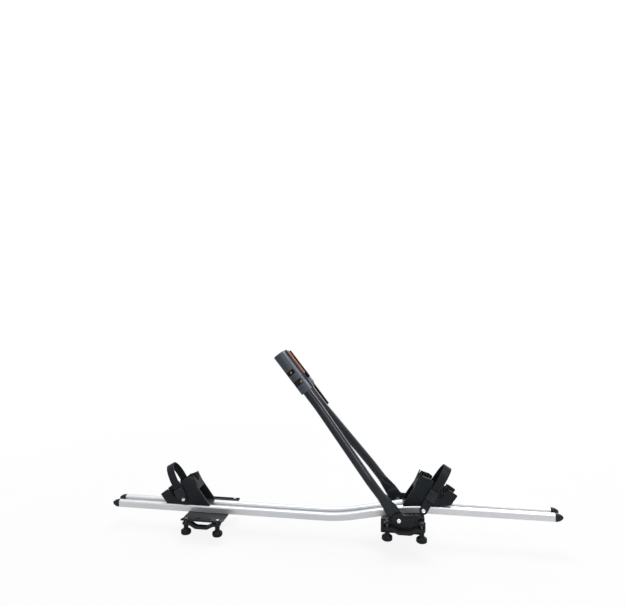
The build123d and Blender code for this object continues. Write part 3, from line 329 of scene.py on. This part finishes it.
pad_rubber = moulded_rubber(
    "pad rubber", dark=(0.80, 0.34, 0.20), light=(0.90, 0.46, 0.31), smooth=0.52, rough=0.66,
)
print("plastics and rubbers ready")

# %% [markdown]
# ## Soft edges
#
# No moulded or bent piece has a razor edge, and a soft edge is what catches the light in a photograph.
# A bevel rounds every edge sharper than 30 degrees. Large flat faces then get the say over the shading
# at their corners, so that they look flat up to the rounded edge.

# %% Helpers that select a piece, open its mesh and soften it
def only(piece):
    """Deselects everything, then selects one piece and makes it the active one."""
    for other in bpy.context.selected_objects:
        other.select_set(False)
    piece.select_set(True)
    bpy.context.view_layer.objects.active = piece


def open_mesh(piece):
    """Opens a piece's mesh for editing, with all of it selected."""
    only(piece)
    bpy.ops.object.mode_set(mode="EDIT")
    bpy.ops.mesh.select_all(action="SELECT")


def close_mesh():
    """Leaves the mesh that is open."""
    bpy.ops.object.mode_set(mode="OBJECT")


sharp_edge, smooth_below = math.radians(30), math.radians(35)


def soften(piece, edge_mm, segments=2):
    """Rounds the sharp edges of a merged mesh and shades the rest smooth."""
    only(piece)
    bevel = piece.modifiers.new("soft edge", "BEVEL")
    bevel.width = edge_mm * MM
    bevel.segments = segments
    bevel.limit_method = "ANGLE"
    bevel.angle_limit = sharp_edge
    bevel.miter_outer = "MITER_ARC"
    bpy.ops.object.modifier_apply(modifier=bevel.name)
    bpy.ops.object.shade_smooth_by_angle(angle=smooth_below)
    shading = piece.modifiers.new("even shading", "WEIGHTED_NORMAL")
    shading.keep_sharp = True
    bpy.ops.object.modifier_apply(modifier=shading.name)


print("edge helpers ready")

# %% [markdown]
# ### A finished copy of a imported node
#
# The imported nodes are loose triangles, which a bevel can't round. So each piece is a merged copy of its
# node: equal points are joined, and flat triangles become whole faces again. The copy is softened, gets
# its finish, rides on the body of its node and stands for it.

# %% A helper that dresses one node
merge_mm, flat_within = 0.002, math.radians(0.4)


def dress(node, material, edge_mm):
    """A softened copy of a node, with its finish, that stands for the node."""
    source = frame["nodes"][node]
    piece = bpy.data.objects.new(node + "_finished", source.data.copy())
    bpy.context.scene.collection.objects.link(piece)
    open_mesh(piece)
    bpy.ops.mesh.remove_doubles(threshold=merge_mm * MM)
    bpy.ops.mesh.dissolve_limited(angle_limit=flat_within)
    close_mesh()
    soften(piece, edge_mm)
    piece.data.materials.clear()
    piece.data.materials.append(material)
    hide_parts(node)
    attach(piece, body_of_node[node])
    return piece


print("points closer than", merge_mm, "mm are merged")

# %% [markdown]
# ## The rail and its caps
#
# The rail's section has two tubes with a web between them. Its edges are crisp, so the bevel is small.
# The caps are injection mouldings with a rounder edge.

# %% Rail and caps
dress("rail", aluminium, edge_mm=0.35)
for end in ("front", "rear"):
    dress(f"{end}_end_cap", cap_plastic, edge_mm=0.5)
print("rail dressed")

# %% [markdown]
# ## Feet, claws and knobs
#
# The feet and claws are bent and coated plate, with an edge of about half a millimetre under the coat.
# The knobs are moulded, with rounded lobes. The rear foot's studs are bright, the front foot's are dark.

# %% Feet, claws and knobs
stud_finish = {"front": dark_thread, "rear": zinc}
for foot in ("front", "rear"):
    dress(f"{foot}_foot", foot_coat, edge_mm=0.5)
    dress(f"{foot}_seat_pad", seat_rubber, edge_mm=0.8)
    dress(f"{foot}_foot_bolts", zinc, edge_mm=0.25)
    dress(f"{foot}_studs", stud_finish[foot], edge_mm=0.25)
    for side in ("near", "far"):
        dress(f"{foot}_{side}_claw", foot_coat, edge_mm=0.6)
        for end in ("back", "ahead"):
            dress(f"{foot}_{side}_{end}_knob", knob_plastic, edge_mm=0.5)
            dress(f"{foot}_{side}_{end}_insert", brass, edge_mm=0.15)
print("feet dressed")

# %% [markdown]
# ## Pieces that look narrower
#
# The heads of the pivot bolts and jaw screws, and the buckles with their buttons, look smaller in the
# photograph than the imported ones. Their copies are scaled a little about their middles. A button keeps
# its front face where it is, and its back comes forward, so that it doesn't meet the narrower buckle
# when it is pressed.

# %% A helper that narrows a piece seen from the side
def narrow(piece, centre, share, depth_share=1.0):
    """Scales a piece's mesh about a point: along X and Z by one share, and in depth by another."""
    open_mesh(piece)
    bpy.ops.transform.resize(value=(share, depth_share, share), center_override=centre)
    close_mesh()


def middle_of(node):
    """The middle of a node's box."""
    low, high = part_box(node)
    return (Vector(low) + Vector(high)) / 2


bolt_share, screw_share, buckle_share, button_depth_share = 0.82, 0.66, 0.84, 0.95
print("seen widths against the packed ones:", bolt_share, screw_share, buckle_share)

# %% [markdown]
# ## Arms and clamp
#
# The arms are coated tube. The jaws are moulded in a blue-grey plastic, with rubber pads, and the clamp
# rod and its barrel are drawn brass.

# %% Arms and clamp
for side in ("near", "far"):
    dress(f"{side}_arm", arm_coat, edge_mm=0.4)
    dress(f"{side}_jaw", jaw_plastic, edge_mm=0.6)
    dress(f"{side}_jaw_pad", pad_rubber, edge_mm=0.2)
    screw = dress(f"{side}_jaw_screw", yellow_zinc, edge_mm=0.15)
    narrow(screw, middle_of(f"{side}_jaw_screw"), screw_share)
bolts = dress("pivot_bolts", bright_rivet, edge_mm=0.2)
narrow(bolts, middle_of("pivot_bolts"), bolt_share)
dress("pivot_washers", washer_nylon, edge_mm=0.1)
dress("clamp_rod", brass, edge_mm=0.2)
dress("rod_barrel", brass, edge_mm=0.15)
dress("lever_pin", zinc, edge_mm=0.15)
dress("clamp_lever", lever_plastic, edge_mm=0.4)
dress("lock_barrel", lock_chrome, edge_mm=0.1)
print("arms and clamp dressed")

# %% [markdown]
# ## Cradles and straps
#
# Each cradle is one moulding with two ribbed rubber blocks. Its strap is moulded flat and bent to a
# loop, and its long edges are rounder than its thickness would suggest.

# %% Cradles, straps and buckles
for place in ("front", "rear"):
    dress(f"{place}_holder", cradle_plastic, edge_mm=0.7)
    dress(f"{place}_saddles", saddle_rubber, edge_mm=0.5)
    dress(f"{place}_holder_bolt", zinc, edge_mm=0.3)
    dress(f"{place}_strap", strap_rubber, edge_mm=0.6)
    buckle = dress(f"{place}_buckle", buckle_plastic, edge_mm=0.4)
    button = dress(f"{place}_button", buckle_plastic, edge_mm=0.4)
    buckle_middle = middle_of(f"{place}_buckle")
    narrow(buckle, buckle_middle, buckle_share)
    button_low_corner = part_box(f"{place}_button")[0]
    button_front = Vector((buckle_middle.x, button_low_corner[1], buckle_middle.z))
    narrow(button, button_front, buckle_share, button_depth_share)
print("cradles dressed")

# %% [markdown]
# ## New pieces
#
# A new piece is made upright at the middle of the scene, where its operators work along X, Y and Z. Then
# it is laid in its place, and that place is applied to its mesh, so that its object sits at the origin
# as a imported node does.

# %% A helper that settles a new piece
def settle(piece, name, material, body, spot_mm, turn):
    """Moves a new piece to its spot, applies that to the mesh, and gives it a finish and a body."""
    piece.name = name
    piece.location = Vector(spot_mm) * MM
    piece.rotation_mode = "QUATERNION"
    piece.rotation_quaternion = turn
    only(piece)
    bpy.ops.object.transform_apply(location=True, rotation=True, scale=True)
    piece.data.materials.clear()
    piece.data.materials.append(material)
    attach(piece, body)


print("settle helper ready")

# %% [markdown]
# ### Rivets in the strap ends
#
# Each strap's loose end carries a bright hollow rivet that keeps it from slipping out of the buckle. It
# is a turned part: a cylinder whose rim is rolled over and whose middle is dished, with a low rise in
# the dish. Its flat ends are picked by where their normals point, and both are shaped at once. It lies
# on the outer face of its strap, which leans outwards and follows the cradle's tilt.

# %% How a rivet is made
rivet_radius, rivet_height, rivet_edge = 5.6, 4.6, 0.5
rim_width, dish_depth, ring_width, middle_rise = 1.5, 1.2, 1.6, 1.25
dish_share = 1 - 2 * dish_depth / rivet_height
facing = 0.9


def open_ends(piece):
    """Opens a piece's mesh with only the faces selected that look up or down."""
    open_mesh(piece)
    bpy.ops.mesh.select_mode(type="FACE")
    bpy.ops.mesh.select_all(action="DESELECT")
    close_mesh()
    for face in piece.data.polygons:
        face.select = abs(face.normal.z) > facing
    bpy.ops.object.mode_set(mode="EDIT")


def strap_rivet():
    """A rivet that is dished at both of its ends."""
    bpy.ops.mesh.primitive_cylinder_add(
        vertices=40, radius=rivet_radius * MM, depth=rivet_height * MM)
    rivet = bpy.context.active_object
    open_ends(rivet)
    bpy.ops.mesh.inset(thickness=rim_width * MM)
    bpy.ops.transform.resize(value=(1, 1, dish_share))
    bpy.ops.mesh.inset(thickness=ring_width * MM)
    bpy.ops.transform.resize(value=(1, 1, middle_rise))
    close_mesh()
    soften(rivet, rivet_edge, segments=3)
    return rivet


print("a rivet is", 2 * rivet_radius, "mm across")

# %% Strap rivets
# Each row: strap, body, the rivet's middle in mm, the cradle's own up, the strap's lean in degrees.
strap_ends = (
    ("front", "carrier", (55.1, -41.2, 59.4), (0.520, 0, 0.854), 19.7),
    ("rear", "rear_holder_set", (-667.0, -31.7, 43.6), (-0.5, 0, 0.866), 17.1),
)
for strap, body, spot, up, lean_degrees in strap_ends:
    lean = math.radians(lean_degrees)
    outward = Vector((0, -math.cos(lean), 0)) + Vector(up) * math.sin(lean)
    turn = outward.to_track_quat("Z", "Y")
    settle(strap_rivet(), f"{strap}_strap_rivet", zinc, body, spot, turn)
print("rivets:", len(strap_ends))

# %% [markdown]
# ### Places along the arms
#
# The other new pieces sit on the jaws, which lean with the arms. Each is placed by three sizes: how far
# it lies along the arm from the pivot, how far across the arm towards its upper side, and how far out
# from the carrier's middle plane. All of them start as a cube drawn out to a block.

# %% Helpers for pieces on the jaws
pivot_mm = Vector((-15, 0, 46))
arm_lean = math.radians(51.5)
arm_way = Vector((-math.cos(arm_lean), 0, math.sin(arm_lean)))
arm_upper = Vector((math.sin(arm_lean), 0, math.cos(arm_lean)))
arm_turn = arm_way.to_track_quat("X", "Z")


def on_arm(along, across, outward):
    """A place given along the arm, across it to its upper side, and from the middle plane outwards."""
    return pivot_mm + arm_way * along + arm_upper * across + Vector((0, outward, 0))


def block(length, depth, width):
    """A cube drawn out along X, Y and Z, in millimetres."""
    bpy.ops.mesh.primitive_cube_add(size=MM)
    piece = bpy.context.active_object
    only(piece)
    piece.scale = (length, depth, width)
    bpy.ops.object.transform_apply(scale=True)
    return piece


def bar(length, depth, width, edge_mm):
    """A block with soft edges."""
    piece = block(length, depth, width)
    soften(piece, edge_mm)
    return piece


print("the arms lean", round(math.degrees(arm_lean), 1), "degrees")

# %% [markdown]
# ### The toothed edge of the far pad
#
# From the near side the far jaw's rubber pad shows past the near jaw as a thin orange strip with fine
# teeth. A strip with soft edges carries the row. A tooth is a narrow rib across it, and an array repeats
# the rib along the strip, so that the whole row is one piece.

# %% Strip
tooth_count, strip_length, strip_width, strip_depth, strip_edge = 16, 80.0, 7.6, 1.2, 0.3
strip_along, strip_across, strip_outward = 527, 21.0, 1.4
tooth_pitch = strip_length / tooth_count
strip = bar(strip_length + tooth_pitch, strip_depth, strip_width, strip_edge)
strip_place = on_arm(strip_along, strip_across, strip_outward)
settle(strip, "far_pad_strip", pad_rubber, "far_arm_set", strip_place, arm_turn)
print("strip:", strip_length + tooth_pitch, "mm long")

# %% Teeth
tooth_share, tooth_width_share, tooth_depth, tooth_outward = 0.28, 0.8832, 1.0, 0.4
tooth = block(tooth_pitch * tooth_share, tooth_depth, strip_width * tooth_width_share)
row = tooth.modifiers.new("row", "ARRAY")
row.count = tooth_count
row.use_relative_offset = False
row.use_constant_offset = True
row.constant_offset_displace = (tooth_pitch * MM, 0, 0)
bpy.ops.object.modifier_apply(modifier=row.name)
first_tooth = strip_along - (tooth_count - 1) * tooth_pitch / 2
row_place = on_arm(first_tooth, strip_across, tooth_outward)
settle(tooth, "far_pad_teeth", pad_rubber, "far_arm_set", row_place, arm_turn)
print("teeth:", tooth_count, "at a pitch of", tooth_pitch, "mm")

# %% [markdown]
# ### Painted shade in the jaws' windows
#
# Each jaw has windows in its side, and the shade inside them is painted. A thin black plate with soft
# edges stands at the back of each window as painted shade, and it is enough because only its face shows.
# The two upper windows mirror each other, and the near jaw's lower window is longer.

# %% Plates of painted shade in the windows
window_width, window_across, shade_plate_depth, shade_plate_edge = 23.9, -1.75, 0.5, 0.15
# Each row of painted shade: piece, body, finish, length, place along the arm and place outwards, in mm.
painted_shade_plates = (
    ("near_upper_window_shade", "near_arm_set", lever_plastic, 13.4, 509, -39.5),
    ("far_upper_window_shade", "far_arm_set", lever_plastic, 13.4, 509, 39.5),
    ("near_lower_window_shade", "near_arm_set", foot_coat, 16.4, 472.5, -39.4),
)
# Each plate is a black sheet that paints the shade in its window.
for name, body, finish, length, along, outward in painted_shade_plates:
    shade_plate = bar(length, shade_plate_depth, window_width, shade_plate_edge)
    settle(shade_plate, name, finish, body, on_arm(along, window_across, outward), arm_turn)
print("window floors:", len(painted_shade_plates))

# %% [markdown]
# ### The lip behind the teeth
#
# A dark lip of the far jaw backs the orange rubber. It is thick enough to have a round edge of its own,
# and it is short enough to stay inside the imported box.

# %% Lip
lip_length, lip_depth, lip_width, lip_edge = 98.0, 6.0, 13.0, 1.2
lip_along, lip_across, lip_outward = 515.5, 23.3, 5.2
lip = bar(lip_length, lip_depth, lip_width, lip_edge)
lip_place = on_arm(lip_along, lip_across, lip_outward)
settle(lip, "far_jaw_lip", lever_plastic, "far_arm_set", lip_place, arm_turn)
print("lip:", lip_length, "mm long")

# %% [markdown]
# ## The camera
#
# The camera stands where the photograph was taken from: about a metre and a half in front of the arms'
# foot and a little above the carrier, turned 8 degrees to the left. Its focal length was found together
# with its place, for a picture of 625 by 606 pixels.

# %% Camera
photo_width, focal_pixels, sensor_width = 625, 522.978, 36.0
camera_place_mm = (-47.074, -1568.355, 646.445)
pitch, roll, heading = math.pi / 2 + 0.003, -0.008, 0.145
camera_data = bpy.data.cameras.new("photo camera")
camera_data.sensor_width = sensor_width
camera_data.lens = focal_pixels / photo_width * sensor_width
camera = bpy.data.objects.new("photo camera", camera_data)
bpy.context.scene.collection.objects.link(camera)
camera.location = Vector(camera_place_mm) * MM
camera.rotation_euler = (pitch, roll, heading)
bpy.context.scene.camera = camera
print("lens:", round(camera_data.lens, 2), "mm")

# %% [markdown]
# ## Floor, light and background
#
# A studio picture on white has a pale floor and a white background, but no more light on the object
# than it needs. Light Path tells a shader which rays see it, so a surface can be white to the camera and
# plain to the light. The floor and the world both mix two shaders in this way, and share two helpers.

# %% Helpers for what the camera sees
def combine(thing, operation, first, second):
    """A Math node's result from two numbers."""
    nodes, links = tree_of(thing)
    result = nodes.new("ShaderNodeMath")
    result.operation = operation
    links.new(first, result.inputs[0])
    links.new(second, result.inputs[1])
    return result.outputs["Value"]


def mix_to_output(thing, share, plain, shown, output):
    """Goes from a plain shader to a shown one by a share, and sends that to the output."""
    nodes, links = tree_of(thing)
    mix = nodes.new("ShaderNodeMixShader")
    links.new(share, mix.inputs["Fac"])
    links.new(plain, mix.inputs[1])
    links.new(shown, mix.inputs[2])
    links.new(mix.outputs["Shader"], nodes[output].inputs["Surface"])


print("background helpers ready")

# %% [markdown]
# The floor lies just under the lowest place that the knobs reach when their claws come down. It shows
# itself to the camera brighter than it is, and more so far from the carrier, so that no horizon shows,
# but near the carrier it keeps the shadow.

# %% Floor
claw_travel_mm, floor_gap_mm, floor_metres = 24.0, 0.5, 30
floor_grey, floor_roughness = 0.70, 0.9
near_metres, far_metres, near_share, far_share = 0.5, 2.0, 0.88, 1.0
floor_level = cad_box[0][2] - (claw_travel_mm + floor_gap_mm) * MM
bpy.ops.mesh.primitive_plane_add(size=floor_metres, location=(0, 0, floor_level))
floor = bpy.context.active_object
floor.name = "floor"
floor_finish = bpy.data.materials.new("pale floor")
floor_finish.use_nodes = True
nodes, links = tree_of(floor_finish)
paint = nodes["Principled BSDF"]
paint.inputs["Base Color"].default_value = (floor_grey, floor_grey, floor_grey, 1)
paint.inputs["Roughness"].default_value = floor_roughness
white = nodes.new("ShaderNodeEmission")
rays = nodes.new("ShaderNodeLightPath")
place = nodes.new("ShaderNodeTexCoord")
distance = nodes.new("ShaderNodeVectorMath")
distance.operation = "LENGTH"
fade = nodes.new("ShaderNodeMapRange")
fade.inputs["From Min"].default_value = near_metres
fade.inputs["From Max"].default_value = far_metres
fade.inputs["To Min"].default_value = near_share
fade.inputs["To Max"].default_value = far_share
links.new(place.outputs["Object"], distance.inputs[0])
links.new(distance.outputs["Value"], fade.inputs["Value"])
share = combine(
    floor_finish, "MULTIPLY", rays.outputs["Is Camera Ray"], fade.outputs["Result"])
mix_to_output(
    floor_finish, share, paint.outputs["BSDF"], white.outputs["Emission"], "Material Output")
floor.data.materials.append(floor_finish)
print("floor at", round(floor_level / MM, 1), "mm")

# %% [markdown]
# One large soft lamp hangs overhead. A smaller and fainter one stands to the side, and the largest
# stands behind, where it draws the long highlights along the rail and the arms. The camera can't see it.

# %% Lamps
lit_place = Vector((-0.25, 0, 0.2))


def soft_lamp(name, place, size, watts):
    """A square lamp, with its side in metres, that faces the carrier."""
    data = bpy.data.lights.new(name, "AREA")
    data.shape = "SQUARE"
    data.size = size
    data.energy = watts
    lamp = bpy.data.objects.new(name, data)
    bpy.context.scene.collection.objects.link(lamp)
    lamp.location = place
    lamp.rotation_euler = (lit_place - Vector(place)).to_track_quat("-Z", "Y").to_euler()
    return lamp


soft_lamp("top lamp", place=(-0.35, 0.1, 2.4), size=1.5, watts=42)
soft_lamp("side lamp", place=(1.15, -1.55, 1.85), size=0.8, watts=18)
back_lamp = soft_lamp("back lamp", place=(0.9, 2.6, 1.9), size=2.4, watts=60)
back_lamp.visible_camera = False
print("three lamps")

# %% [markdown]
# The world is white to the camera and in reflections, and a soft, slightly blue grey to everything else.

# %% World
world_colour, world_strength = (0.95, 0.97, 1.0, 1), 0.30
world = bpy.data.worlds.new("white studio")
bpy.context.scene.world = world
world.use_nodes = True
nodes = world.node_tree.nodes
soft = nodes["Background"]
soft.inputs["Color"].default_value = world_colour
soft.inputs["Strength"].default_value = world_strength
seen = nodes.new("ShaderNodeBackground")
seen.inputs["Color"].default_value = (1, 1, 1, 1)
rays = nodes.new("ShaderNodeLightPath").outputs
reflected = combine(world, "MAXIMUM", rays["Is Glossy Ray"], rays["Is Transmission Ray"])
in_view = combine(world, "MAXIMUM", reflected, rays["Is Camera Ray"])
mix_to_output(
    world, in_view, soft.outputs["Background"], seen.outputs["Background"], "World Output")
bpy.context.scene.view_settings.view_transform = "Standard"
print("world ready")
